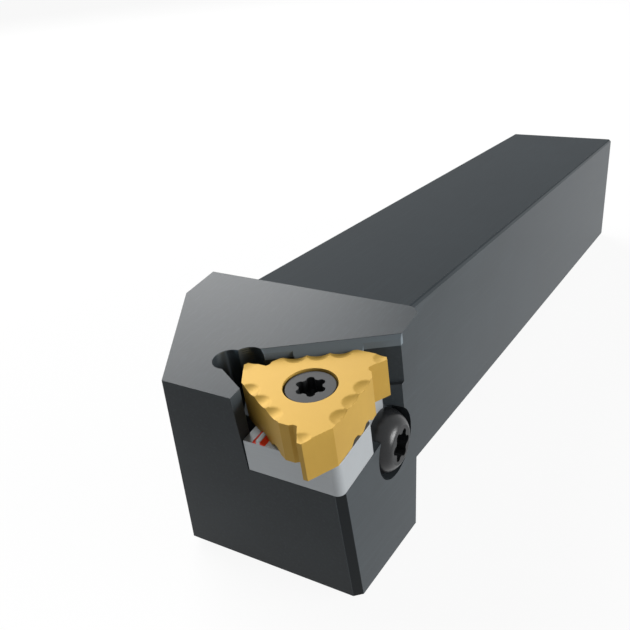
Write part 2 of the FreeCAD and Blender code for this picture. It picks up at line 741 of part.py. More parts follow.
def make_insert_screw():
    """The screw that holds the insert: conical head, plain neck and thread."""
    body = new_body("insert_screw")
    end = f"({dim('screw_to_thread')} + {dim('screw_thread_length')})"
    edge_break = dim("screw_edge_break")
    section = new_sketch(body, "screw_section", "XZ_Plane")
    cone_end = f"({dim('screw_rim')} + {dim('screw_cone')})"
    thread_lead = f"({dim('screw_tip_chamfer')} / 2)"
    add_polygon(section, [
        ("0", "0"),
        (f"({dim('screw_head_radius')} - {edge_break})", "0"),
        (dim("screw_head_radius"), f"-{edge_break}"),
        (dim("screw_head_radius"), f"-{dim('screw_rim')}"),
        (dim("screw_neck_radius"), f"-{cone_end}"),
        (dim("screw_neck_radius"), f"-{dim('screw_to_thread')}"),
        (f"({dim('screw_thread_radius')} - {thread_lead})", f"-{dim('screw_to_thread')}"),
        (dim("screw_thread_radius"), f"(-{dim('screw_to_thread')} - {thread_lead})"),
        (dim("screw_thread_radius"), f"({dim('screw_tip_chamfer')} - {end})"),
        (f"({dim('screw_thread_radius')} - {dim('screw_tip_chamfer')})", f"-{end}"),
        ("0", f"-{end}"),
    ])
    turned_screw = revolve(body, "Revolution", "turned_screw", section, "V_Axis")
    neck_ring = ring_edges(turned_screw, "z", value(dim("screw_neck_radius")), -value(cone_end))
    round_edges(body, "neck_round", turned_screw, neck_ring, dim("screw_neck_round"))
    socket = (dim("screw_socket_radius"), dim("screw_socket_depth"))
    add_socket(body, "socket", "XY_Plane", "Z_Axis", "0", *socket)
    head_height = f"({dim('shim_thickness')} + {dim('insert_thickness')} - {dim('screw_sink')})"
    place(body, above_seat(head_height), TILT)
    return body


def make_shim_screw():
    """The domed screw in the right side, whose head bears on the shim's flank."""
    body = new_body("shim_screw")
    end = f"-{dim('side_screw_length')}"
    shaft = dim("side_screw_thread_radius")
    section = new_sketch(body, "side_screw_section", "XY_Plane")
    add_polygon(section, [
        (end, "0"),
        (dim("side_screw_head_height"), "0"),
        (dim("side_screw_head_height"), dim("side_screw_face_radius")),
        (dim("side_screw_dome_height"), dim("side_screw_dome_radius")),
        (dim("side_screw_rim"), dim("side_screw_head_radius")),
        ("0", dim("side_screw_head_radius")),
        ("0", shaft),
        (f"({end} + {dim('side_screw_tip_chamfer')})", shaft),
        (end, f"({shaft} - {dim('side_screw_tip_chamfer')})"),
    ])
    screw = revolve(body, "Revolution", "turned_side_screw", section, "H_Axis")
    rings = ring_edges(
        screw, "x", value(dim("side_screw_dome_radius")), value(dim("side_screw_dome_height"))
    )
    rings += ring_edges(
        screw, "x", value(dim("side_screw_face_radius")), value(dim("side_screw_head_height"))
    )
    round_edges(body, "dome", screw, rings, dim("side_screw_dome_round"))
    socket = (dim("side_screw_socket_radius"), dim("side_screw_socket_depth"))
    add_socket(body, "side_socket", "YZ_Plane", "X_Axis", dim("side_screw_head_height"), *socket)
    place(body, (SIDE_SCREW_SEAT_X, SIDE_SCREW_Y, SIDE_SCREW_Z))
    return body


bodies = [make_holder(), make_shim(), make_shim_screw(), make_insert(), make_insert_screw()]
doc.recompute()

for item in doc.Objects:
    if "Invalid" in item.State or "Error" in item.State:
        raise RuntimeError(f"{item.Label} did not work out: {item.State}")
for body in bodies:
    if body.Shape.isNull() or not body.Shape.isValid() or len(body.Shape.Solids) != 1:
        raise RuntimeError(f"{body.Label} is not one valid solid")

for body in bodies:
    body.Shape.exportStep(f"parts/{body.Label}.step")
    print(body.Label, round(body.Shape.Volume, 1), body.Shape.BoundBox)
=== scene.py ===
"""Turning tool holder with its shim, insert and screws: finishes, threads, stage and camera."""

import math

import bmesh
import bpy
from bpy.props import FloatProperty, FloatVectorProperty, PointerProperty
from mathutils import Matrix, Vector


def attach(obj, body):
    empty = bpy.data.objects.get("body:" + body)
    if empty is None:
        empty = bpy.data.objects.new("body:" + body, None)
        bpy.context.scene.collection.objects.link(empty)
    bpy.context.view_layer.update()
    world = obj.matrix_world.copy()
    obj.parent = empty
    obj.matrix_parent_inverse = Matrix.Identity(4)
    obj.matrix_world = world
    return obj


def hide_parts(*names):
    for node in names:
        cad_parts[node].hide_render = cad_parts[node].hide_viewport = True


bl_info = {
    "name": "Turning tool holder",
    "version": (1, 0, 0),
    "blender": (4, 5, 0),
    "location": "View3D > Sidebar > Tool holder",
    "description": "Finishes the pieces of a threading tool holder and sets the stage",
    "category": "Object",
}

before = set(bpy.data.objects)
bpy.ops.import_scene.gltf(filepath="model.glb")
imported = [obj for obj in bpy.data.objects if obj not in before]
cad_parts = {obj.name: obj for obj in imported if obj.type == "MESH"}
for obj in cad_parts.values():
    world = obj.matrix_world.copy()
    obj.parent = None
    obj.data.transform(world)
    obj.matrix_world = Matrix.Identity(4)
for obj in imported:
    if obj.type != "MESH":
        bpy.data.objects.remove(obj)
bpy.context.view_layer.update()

MM = 0.001


def mm(*lengths):
    """Lengths given in millimetres, in metres."""
    return tuple(length * MM for length in lengths)


# The shank and the head. The head starts where the shank ends, and its top slopes as the seat does.
SHANK_HALF = 61.3 * MM
SHANK_TOP = 25.0 * MM
SHANK_TOP_DEPTH = 0.2 * MM
HEAD_REAR = -SHANK_HALF
HEAD_REACH = 25.3 * MM
HEAD_RIGHT = 13.9 * MM
HEAD_BOTTOM = -8.5 * MM
FRONT_RELIEF = math.radians(12.0)
FRONT_BEVEL = mm(0.04, 0.97)

# The seat frame. Its origin is where the axis of the insert screw meets the seat, and its Z axis
# points out of the seat.
SEAT_TILT = math.radians(10.0)
SEAT_TURN = (SEAT_TILT, 0.0, 0.0)
SEAT_NORMAL = Vector((0.0, -math.sin(SEAT_TILT), math.cos(SEAT_TILT)))
SEAT_DEPTH = 11.45 * MM
SEAT_BACK = 18.55 * MM
SEAT = Vector((
    7.48 * MM,
    HEAD_REAR - SEAT_BACK * math.cos(SEAT_TILT) + SEAT_DEPTH * math.sin(SEAT_TILT),
    SHANK_TOP - SEAT_BACK * math.sin(SEAT_TILT) - SEAT_DEPTH * math.cos(SEAT_TILT),
))
HEAD_FRONT = Vector((
    HEAD_RIGHT,
    HEAD_REAR - HEAD_REACH * math.cos(SEAT_TILT),
    SHANK_TOP - HEAD_REACH * math.sin(SEAT_TILT),
))

# The stop wall, turned about the seat's normal: lengths out of it, along it and above the seat
WALL_TURN = math.radians(30.0)
PAD_FACE = mm(6.3, 6.46)
PAD_SPAN = mm(-2.05, 6.6)
PAD_FADE = mm(7.2, 8.3)
PAD_TOP = 9.87 * MM
WALL_BEVEL_FACE = mm(6.42, 7.5)
WALL_BEVEL_HEIGHT = mm(9.88, 11.4)
WALL_BEVEL_SPAN = mm(-7.0, 14.0)

# The relief bores: place along X and Y of the seat frame, and radius
RELIEF_BORES = (mm(-11.75, -0.1, 2.1), mm(-9.7, 1.16, 2.2))
BORE_MARGIN = 0.05 * MM
BORE_HEIGHT = mm(-0.65, 11.42)
BORE_FEED = 0.32 * MM

# The threaded holes: radius that takes in the hole's wall, and reach along the hole
SCREW_HOLE = (2.6 * MM, mm(-8.7, -0.1))
SIDE_HOLE = (2.1 * MM, mm(-10.6, -0.1))
SIDE_SCREW = Vector((SEAT.x + 4.15 * MM, SEAT.y + 8.23 * MM, SEAT.z - 1.7 * MM))
SIDE_AXIS = Vector((1.0, 0.0, 0.0))

# The shim and its rail, and the insert with its groove, above the seat or above the shim
SHIM_TOP = 4.8 * MM
RAIL_FROM_CENTRE = 4.47 * MM
RAIL_FLANK = mm(0.27, 0.99)
RAIL_HEIGHT = (SHIM_TOP + 0.03 * MM, SHIM_TOP + 0.46 * MM)
COUNTERBORE = 4.22 * MM
GROOVE_FLANK = mm(-5.46, -4.86)
GROOVE_DEPTH = mm(0.04, 0.6)
GROOVE_SPAN = mm(-2.35, 4.2)
INSERT_THICKNESS = 5.6 * MM

# The insert screw's head is sunk below the top of the insert. The start and end of its thread are
# measured down from the face of that head, and the shim screw's from the underside of its head.
SCREW_SINK = 0.25 * MM
SCREW_HEAD_TOP = SEAT + SEAT_NORMAL * (SHIM_TOP + INSERT_THICKNESS - SCREW_SINK)
SCREW_FACE_DEPTH = 0.02 * MM
INSERT_THREAD = mm(6.85, 15.9)
SHIM_THREAD = mm(0.5, 8.3)
THREAD_SHOULDER = 0.12 * MM
# The domed head of the shim screw: rim and face heights, their radii, and just outside the socket
SIDE_HEAD = 3.1 * MM
SIDE_DOME = (0.7 * MM, SIDE_HEAD, 4.4 * MM, 2.6 * MM, 2.4 * MM)
DOME_POWER = 1.6
DOME_STEPS = 18
DOME_MARGIN = 0.001 * MM

# The ridge of a thread: sides of one turn, smallest size at its ends, how far it is sunk into the
# core as a part of its depth, and half its width on the core and at the crest as parts of the pitch
TURN_SIDES = 48
RIDGE_END = 0.02
RIDGE_SUNK = 0.1
RIDGE_FOOT = 0.49
RIDGE_CREST = 0.07
THREAD_INPUTS = ("Core radius", "Outer radius", "Pitch", "Length")

# Cleaning, edges and shading of the meshes
MERGE = 1e-6
EXACT = 1e-7
FLAT_ANGLE = math.radians(0.4)
BREAK_ANGLE = math.radians(28.0)
BREAK_STEPS = 2
CREASE = 32.0
THREAD_CREASE = 25.0
# Faces above this area are flats, and a crease above this angle between two of them stays sharp
FLAT_AREA = 6.0 * MM * MM
FLAT_CREASE = 3.0

# How soft the sides of a marked area are, and of a round one by its radius squared
CRISP = 0.01 * MM
SOFT = 0.02 * MM
PAD_SOFT = 0.04 * MM
SHANK_SOFT = 0.05 * MM
ROUND_CRISP = 1e-8

# The two colour inputs and the colour output of a Mix node
MIX_FIRST, MIX_SECOND, MIX_RESULT = 6, 7, 2

# The stage
WHITE = (1.0, 1.0, 1.0)
FLOOR_HALF = 3.0
FLOOR_GAP = 0.02 * MM
FLOOR_BRIGHT_SHARE = 0.88
FLOOR_GLOW = 1.055
WORLD_LIGHT = 0.16
WORLD_SEEN = 0.94
LAMP_TARGET = (0.0, -0.06, 0.01)
# Place, size and power of each lamp
LAMPS = {
    "back_left_lamp": ((-0.57, 0.19, 0.52), (0.84, 0.36), 10.4),
    "right_lamp": ((0.78, 0.10, 0.12), (0.4, 0.4), 9.6),
}

# The camera: its place, the ways to its right and behind it, and its focal length in pixels
CAMERA_PLACE = (0.052115, -0.150367, 0.065066)
CAMERA_RIGHT = (0.86047, 0.50789, -0.04058)
CAMERA_BACK = (0.48193, -0.78546, 0.38833)
CAMERA_FOCUS = 794.24
CAMERA_NEAR = 0.005
SENSOR_WIDTH = 36.0
PICTURE_WIDTH = 630.0


class EdgeSizes(bpy.types.PropertyGroup):
    """How far the sharp edges of each piece are broken."""

    holder: FloatProperty(
        name="Holder edges", description="Width of the broken edges of the holder",
        default=0.14 * MM, unit="LENGTH", precision=5,
    )
    shim: FloatProperty(
        name="Shim edges", description="Width of the broken edges of the shim",
        default=0.09 * MM, unit="LENGTH", precision=5,
    )
    insert: FloatProperty(
        name="Insert edges", description="Width of the honed edges of the insert",
        default=0.06 * MM, unit="LENGTH", precision=5,
    )
    screws: FloatProperty(
        name="Screw edges", description="Width of the broken edges of both screws",
        default=0.07 * MM, unit="LENGTH", precision=5,
    )


class ThreadSizes(bpy.types.PropertyGroup):
    """The threads of the two screws."""

    insert_pitch: FloatProperty(
        name="Insert screw pitch", description="Rise of the insert screw's thread in one turn",
        default=0.8 * MM, unit="LENGTH", precision=5,
    )
    insert_outer: FloatProperty(
        name="Insert screw radius", description="Outer radius of the insert screw's thread",
        default=2.48 * MM, unit="LENGTH", precision=5,
    )
    shim_pitch: FloatProperty(
        name="Shim screw pitch", description="Rise of the shim screw's thread in one turn",
        default=0.7 * MM, unit="LENGTH", precision=5,
    )
    shim_outer: FloatProperty(
        name="Shim screw radius", description="Outer radius of the shim screw's thread",
        default=1.98 * MM, unit="LENGTH", precision=5,
    )
    depth: FloatProperty(
        name="Thread depth", description="Depth of a thread as a part of its pitch",
        default=0.54, min=0.2, max=0.7,
    )


class Finishes(bpy.types.PropertyGroup):
    """The colours of the pieces and of the floor."""

    steel: FloatVectorProperty(
        name="Blackened steel", description="Colour of the holder",
        default=(0.037, 0.0445, 0.050), subtype="COLOR", size=3, min=0.0, max=1.0,
    )
    # The broken edges' colour: wear, and partly a painted highlight along the edges
    edge: FloatVectorProperty(
        name="Worn edge", description="Colour of the holder's broken edges",
        default=(0.13, 0.14, 0.145), subtype="COLOR", size=3, min=0.0, max=1.0,
    )
    hard_metal: FloatVectorProperty(
        name="Ground hard metal", description="Colour of the shim",
        default=(0.345, 0.365, 0.38), subtype="COLOR", size=3, min=0.0, max=1.0,
    )
    coating: FloatVectorProperty(
        name="Gold coating", description="Colour of the insert",
        default=(0.43, 0.262, 0.05), subtype="COLOR", size=3, min=0.0, max=1.0,
    )
    oxide: FloatVectorProperty(
        name="Black oxide", description="Colour of the screws",
        default=(0.014, 0.0148, 0.016), subtype="COLOR", size=3, min=0.0, max=1.0,
    )
    contact: FloatVectorProperty(
        name="Contact red", description="Colour of the marked contact faces",
        default=(0.86, 0.055, 0.018), subtype="COLOR", size=3, min=0.0, max=1.0,
    )
    floor: FloatVectorProperty(
        name="Floor", description="Colour of the floor",
        default=(0.5, 0.5, 0.5), subtype="COLOR", size=3, min=0.0, max=1.0,
    )


class Wire:
    """One value in a node tree, which plain arithmetic joins to others."""

    def __init__(self, tree, socket):
        self.tree = tree
        self.socket = socket

    def maths(self, operation, *values):
        """A Math node on these values."""
        return self.tree.node("ShaderNodeMath", {"operation": operation}, values)

    def __add__(self, other):
        return self.maths("ADD", self, other)

    def __radd__(self, other):
        return self.maths("ADD", other, self)

    def __sub__(self, other):
        return self.maths("SUBTRACT", self, other)

    def __rsub__(self, other):
        return self.maths("SUBTRACT", other, self)

    def __mul__(self, other):
        return self.maths("MULTIPLY", self, other)

    def __rmul__(self, other):
        return self.maths("MULTIPLY", other, self)

    def __truediv__(self, other):
        return self.maths("DIVIDE", self, other)

    def __rtruediv__(self, other):
        return self.maths("DIVIDE", other, self)

    def __abs__(self):
        return self.maths("ABSOLUTE", self)

    def __gt__(self, other):
        return self.maths("GREATER_THAN", self, other)

    def __lt__(self, other):
        return self.maths("LESS_THAN", self, other)

    def fraction(self):
        """What is left of the value after its whole part."""
        return self.maths("FRACT", self)

    def squared(self):
        """The value times itself."""
        return self * self


class Tree:
    """A node tree that is put together node by node."""

    def __init__(self, tree):
        self.tree = tree
        self.tree.nodes.clear()

    def node(self, kind, settings=None, values=(), output=0):
        """Any node: its settings first, then the values or links of its sockets."""
        made = self.tree.nodes.new(kind)
        for key, setting in (settings or {}).items():
            setattr(made, key, setting)
        pairs = values.items() if isinstance(values, dict) else enumerate(values)
        for key, given in pairs:
            socket = made.inputs[key]
            if isinstance(given, Wire):
                self.tree.links.new(given.socket, socket)
            elif socket.type == "RGBA":
                socket.default_value = (*given[:3], 1.0)
            else:
                socket.default_value = given
        if isinstance(output, tuple):
            return [Wire(self, made.outputs[name]) for name in output]
        return Wire(self, made.outputs[output]) if len(made.outputs) else None

    def either(self, first, second):
        """The larger of two values, and so the area of both masks."""
        return self.node("ShaderNodeMath", {"operation": "MAXIMUM"}, [first, second])

    def seen_directly(self):
        """1 for what the camera sees, straight or in metal and glass, and 0 for soft light."""
        rays = ("Is Camera Ray", "Is Glossy Ray", "Is Transmission Ray")
        straight, in_metal, in_glass = self.node("ShaderNodeLightPath", output=rays)
        return self.either(self.either(straight, in_metal), in_glass)


class Finish(Tree):
    """The material of a piece, put together from nodes."""

    def __init__(self, name):
        self.material = bpy.data.materials.new(name)
        self.material.use_nodes = True
        super().__init__(self.material.node_tree)
        self.place = self.node("ShaderNodeTexCoord", output="Object")

    def turned_place(self, centre=(0.0, 0.0, 0.0), turn=(0.0, 0.0, 0.0), scale=(1.0, 1.0, 1.0)):
        """The place on the piece, measured from a centre in a turned frame."""
        values = {"Vector": self.place, "Location": centre, "Rotation": turn, "Scale": scale}
        return self.node("ShaderNodeMapping", {"vector_type": "TEXTURE"}, values)

    def axes(self, vector):
        """The three parts of a vector."""
        return self.node("ShaderNodeSeparateXYZ", values=[vector], output=("X", "Y", "Z"))

    def seat_axes(self, above=0.0):
        """The place in the seat frame, with its origin moved above the seat."""
        return self.axes(self.turned_place(SEAT + SEAT_NORMAL * above, SEAT_TURN))

    def ramp_up(self, value, low, high):
        """A smooth step from 0 at low to 1 at high."""
        values = {"Value": value, "From Min": low, "From Max": high}
        return self.node("ShaderNodeMapRange", {"interpolation_type": "SMOOTHSTEP"}, values)

    def band(self, value, limits, soft):
        """1 between two limits, with soft sides."""
        low, high = limits
        rise = self.ramp_up(value, low - soft, low + soft)
        fall = self.ramp_up(value, high - soft, high + soft)
        return rise * (1.0 - fall)

    def noise(self, scale, detail=3.0, roughness=0.55, stretch=(1.0, 1.0, 1.0)):
        """Noise over the piece, from 0 to 1; a stretch over 1 makes it long that way."""
        where = self.turned_place(scale=stretch)
        values = {"Vector": where, "Scale": scale, "Detail": detail, "Roughness": roughness}
        return self.node("ShaderNodeTexNoise", values=values)

    def tint(self, colour, other, amount):
        """A colour moved towards another by an amount."""
        values = {"Factor": amount, MIX_FIRST: colour, MIX_SECOND: other}
        return self.node("ShaderNodeMix", {"data_type": "RGBA"}, values, output=MIX_RESULT)

    def bump(self, height, distance, strength):
        """A surface normal from a height between 0 and 1."""
        values = {"Height": height, "Distance": distance, "Strength": strength}
        return self.node("ShaderNodeBump", values=values, output="Normal")

    def close(self, colour, roughness, metallic, specular, normal=None):
        """Close the material with one surface shader."""
        values = {
            "Base Color": colour,
            "Roughness": roughness,
            "Metallic": metallic,
            "Specular IOR Level": specular,
        }
        if normal:
            values["Normal"] = normal
        shader = self.node("ShaderNodeBsdfPrincipled", values=values)
        self.node("ShaderNodeOutputMaterial", values=[shader])
        return self.material


def colours():
    """The finishes chosen in the scene."""
    return bpy.context.scene.tool_finishes


def shade(colour, *factors):
    """A colour times one factor, or times a factor for each of its parts."""
    each = factors if len(factors) == len(colour) else factors * len(colour)
    return tuple(min(part * factor, 1.0) for part, factor in zip(colour, each))


def threaded_hole(steel, along, first, second, hole, pitch):
    """The area of a threaded hole, and in it a height that follows the turns of the thread."""
    radius, reach = hole
    wall = steel.band(first.squared() + second.squared(), (0.0, radius ** 2), ROUND_CRISP)
    area = wall * steel.band(along, reach, CRISP)
    angle = first.maths("ARCTAN2", first, second) * (pitch / math.tau)
    turns = (along + angle) * (1.0 / pitch)
    return area, area * (abs(turns.fraction() - 0.5) * 2.0)


def blackened_steel():
    """The holder: ground and blackened steel, threads in its holes, marked contact pad."""
    steel = Finish("blackened_steel")
    colour = colours().steel
    cloud = steel.noise(70.0, detail=5.0, roughness=0.62)
    lines = steel.noise(2400.0, detail=2.0, stretch=(1.0, 40.0, 1.0))
    grain = steel.noise(5200.0, detail=2.0)
    base = steel.tint(shade(colour, 0.72), shade(colour, 1.24), cloud)
    base = steel.tint(base, shade(colour, 1.6), steel.ramp_up(lines, 0.45, 0.8) * 0.35)

    # The contact pad is marked on its upper part, and fades out towards the shim
    seat_x, seat_y, seat_z = steel.seat_axes()
    outward = seat_x * -math.sin(WALL_TURN) + seat_y * math.cos(WALL_TURN)
    along = seat_x * math.cos(WALL_TURN) + seat_y * math.sin(WALL_TURN)
    pad = steel.band(outward, PAD_FACE, SOFT) * steel.band(along, PAD_SPAN, PAD_SOFT)
    marked = pad * (steel.ramp_up(seat_z, *PAD_FADE) * (seat_z < PAD_TOP))
    base = steel.tint(base, colours().contact, marked)

    # The bevel along the stop wall is painted bright: a painted highlight, as if light falls on it
    bevel = steel.band(outward, WALL_BEVEL_FACE, SOFT)
    bevel = bevel * steel.band(seat_z, WALL_BEVEL_HEIGHT, SOFT)
    bevel = bevel * steel.band(along, WALL_BEVEL_SPAN, SOFT)
    base = steel.tint(base, shade(colour, 4.0), bevel)

    # The bevel on the front corner is painted deep black: a painted shade that stands in for the
    # dark it reflects
    x, y, z = steel.axes(steel.place)
    from_front = (
        (y - HEAD_FRONT.y) * math.cos(FRONT_RELIEF) + (z - HEAD_FRONT.z) * math.sin(FRONT_RELIEF)
    )
    near, far = FRONT_BEVEL
    corner = steel.band(x, (HEAD_RIGHT - far, HEAD_RIGHT - near), CRISP)
    corner = corner * steel.band(from_front, FRONT_BEVEL, CRISP)
    base = steel.tint(base, shade(colour, 0.25), corner)

    # The threads of the two holes, whose walls are painted darker: a painted shade in the holes
    pitches = bpy.context.scene.tool_threads
    screw_hole, screw_turns = threaded_hole(
        steel, seat_z, seat_x, seat_y, SCREW_HOLE, pitches.insert_pitch
    )
    side_x, side_y, side_z = steel.axes(steel.turned_place(SIDE_SCREW))
    side_hole, side_turns = threaded_hole(
        steel, side_x, side_y, side_z, SIDE_HOLE, pitches.shim_pitch
    )
    threads = screw_turns + side_turns
    base = steel.tint(base, shade(colour, 0.45), (screw_hole + side_hole) * 0.7)

    # The two relief bores at the corner of the seat are shiny, with the marks of the boring tool
    corner_bore, tooth_bore = (
        (seat_x - x0).squared() + (seat_y - y0).squared() < (radius + BORE_MARGIN) ** 2
        for x0, y0, radius in RELIEF_BORES
    )
    bored = steel.either(corner_bore, tooth_bore) * steel.band(seat_z, BORE_HEIGHT, CRISP)
    tool_marks = bored * abs((seat_z * (1.0 / BORE_FEED)).fraction() - 0.5)

    # The top of the shank is left matt, and the head is milled finer; the shank's top is also
    # painted darker, a painted shade that keeps it below the head's top
    shank_top = steel.band(y, (HEAD_REAR, SHANK_HALF + MM), SHANK_SOFT)
    shank_top = shank_top * (z > SHANK_TOP - SHANK_TOP_DEPTH)
    base = steel.tint(base, shade(colour, 0.5), shank_top * 0.5)
    base = steel.tint(base, shade(colour, 4.0), bored * 0.7)

    roughness = 0.3 + cloud * 0.06 + lines * 0.06 + marked * 0.2 + shank_top * 0.42 - bored * 0.12
    relief = lines * 0.5 + grain * 0.35 + threads * 60.0 + tool_marks * 26.0
    normal = steel.bump(relief, distance=0.004 * MM, strength=0.6)
    return steel.close(base, roughness, metallic=bored * 0.8, specular=0.08, normal=normal)


def worn_edge_and_painted_highlight():
    """The broken edges of the holder, a little brighter than its faces: partly wear, partly a
    painted highlight along the edges.
    """
    edge = Finish("worn_edge_and_painted_highlight")
    wear = edge.noise(900.0)
    base = edge.tint(shade(colours().edge, 0.65), shade(colours().edge, 1.25), wear)
    return edge.close(base, 0.34 + wear * 0.12, metallic=0.1, specular=0.3)


def ground_hard_metal():
    """The shim: pale ground hard metal, with the flanks of its rail marked."""
    shim = Finish("ground_hard_metal")
    colour = colours().hard_metal
    cloud = shim.noise(140.0)
    lines = shim.noise(5200.0, detail=2.0, stretch=(30.0, 1.0, 1.0))
    speckle = shim.noise(9000.0, detail=2.0)
    base = shim.tint(shade(colour, 0.9), shade(colour, 1.06), cloud)
    base = shim.tint(base, shade(colour, 0.78), lines * 0.25)

    seat_x, seat_y, seat_z = shim.seat_axes()
    flank = shim.band(abs(seat_x + RAIL_FROM_CENTRE), RAIL_FLANK, CRISP)
    flank = flank * shim.band(seat_z, RAIL_HEIGHT, CRISP)
    outside = seat_x.squared() + seat_y.squared() > COUNTERBORE ** 2
    marked = flank * outside
    base = shim.tint(base, colours().contact, marked)

    roughness = 0.42 + lines * 0.12 + speckle * 0.05 + marked * 0.05
    metallic = 0.55 - marked * 0.55
    normal = shim.bump(lines * 0.6 + speckle * 0.4, distance=0.003 * MM, strength=0.5)
    return shim.close(base, roughness, metallic, specular=0.2, normal=normal)


def gold_coating():
    """The insert: gold coated hard metal, with one flank of a groove marked."""
    coating = Finish("gold_coating")
    colour = colours().coating
    cloud = coating.noise(160.0)
    grain = coating.noise(8000.0)
    lines = coating.noise(6000.0, detail=2.0, stretch=(1.0, 1.0, 24.0))
    base = coating.tint(shade(colour, 0.88), shade(colour, 1.1, 1.16, 1.3), cloud)
    base = coating.tint(base, shade(colour, 0.72), lines * 0.2)

    seat_x, seat_y, seat_z = coating.seat_axes(SHIM_TOP)
    marked = coating.band(seat_x, GROOVE_FLANK, CRISP) * coating.band(seat_z, GROOVE_DEPTH, SOFT)
    marked = marked * coating.band(seat_y, GROOVE_SPAN, SOFT)
    base = coating.tint(base, colours().contact, marked)

    roughness = 0.44 + cloud * 0.08 + grain * 0.08
    metallic = 0.32 - marked * 0.32
    normal = coating.bump(grain * 0.6 + lines * 0.4, distance=0.003 * MM, strength=0.5)
    return coating.close(base, roughness, metallic, specular=0.12, normal=normal)


def black_oxide(axis, face, thread):
    """A screw: black oxide skin, shiny on the head and duller on the face and the thread."""
    oxide = Finish("black_oxide")
    colour = colours().oxide
    cloud = oxide.noise(300.0)
    grain = oxide.noise(9000.0, detail=2.0)
    base = oxide.tint(shade(colour, 0.75), shade(colour, 1.4), cloud)
    dot = {"operation": "DOT_PRODUCT"}
    height = oxide.node("ShaderNodeVectorMath", dot, [oxide.place, tuple(axis)], output="Value")
    on_face = height > face.dot(axis) - SCREW_FACE_DEPTH
    on_thread = height < thread.dot(axis)
    roughness = 0.22 + cloud * 0.08 + grain * 0.05 + on_face * 0.3 + on_thread * 0.1
    normal = oxide.bump(grain, distance=0.002 * MM, strength=0.4)
    return oxide.close(base, roughness, metallic=0.0, specular=0.3, normal=normal)


def copy_of_node(node, name):
    """A cleaned copy of a node's mesh: joined, and with one face for each flat."""
    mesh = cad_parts[node].data.copy()
    mesh.name = name
    cleaned = bmesh.new()
    cleaned.from_mesh(mesh)
    bmesh.ops.remove_doubles(cleaned, verts=cleaned.verts, dist=MERGE)
    bmesh.ops.dissolve_degenerate(cleaned, edges=cleaned.edges, dist=EXACT)
    bmesh.ops.dissolve_limit(
        cleaned, angle_limit=FLAT_ANGLE, verts=cleaned.verts, edges=cleaned.edges
    )
    return mesh, cleaned


def new_object(name, data):
    """An object in the scene that shows a mesh, a lamp or a camera."""
    made = bpy.data.objects.new(name, data)
    bpy.context.scene.collection.objects.link(made)
    return made


def settle_modifiers(made):
    """Turn the result of an object's modifiers into its own plain mesh."""
    bpy.context.view_layer.update()
    graph = bpy.context.evaluated_depsgraph_get()
    result = bpy.data.meshes.new_from_object(made.evaluated_get(graph), depsgraph=graph)
    result.name = made.name
    made.modifiers.clear()
    made.data = result


def smooth(made, crease):
    """Smooth shading, broken at edges sharper than an angle in degrees and between large flats."""
    shaded = bmesh.new()
    shaded.from_mesh(made.data)
    for face in shaded.faces:
        face.smooth = True
    for edge in shaded.edges:
        turn = math.degrees(edge.calc_face_angle(math.pi))
        flats = all(face.calc_area() > FLAT_AREA for face in edge.link_faces)
        edge.smooth = turn < crease and not (flats and turn > FLAT_CREASE)
    shaded.to_mesh(made.data)
    shaded.free()
    weighted = made.modifiers.new("flat_faces_stay_flat", "WEIGHTED_NORMAL")
    weighted.keep_sharp = True
    settle_modifiers(made)


def break_edges(made, width):
    """Bevel the sharp edges of a piece, and give them its second finish where it has one."""
    bevel = made.modifiers.new("broken_edges", "BEVEL")
    bevel.width = width
    bevel.segments = BREAK_STEPS
    bevel.limit_method = "ANGLE"
    bevel.angle_limit = BREAK_ANGLE
    bevel.use_clamp_overlap = True
    bevel.material = 1 if len(made.data.materials) > 1 else -1
    bevel.miter_outer = "MITER_ARC"
    settle_modifiers(made)


def dress(node, name, width, finishes, body, reshape=None):
    """Replace a node with a copy that has broken edges and its finish, reshaped where asked."""
    mesh, cleaned = copy_of_node(node, name)
    if reshape:
        reshape(cleaned)
    cleaned.to_mesh(mesh)
    cleaned.free()
    made = new_object(name, mesh)
    mesh.materials.clear()
    for finish in finishes:
        mesh.materials.append(finish)
    break_edges(made, width)
    smooth(made, CREASE)
    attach(made, body)
    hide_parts(node)


def put_input(modifier, name, value):
    """Set a named input of a geometry tree on its modifier."""
    for item in modifier.node_group.interface.items_tree:
        if item.item_type == "SOCKET" and item.in_out == "INPUT" and item.name == name:
            modifier[item.identifier] = value


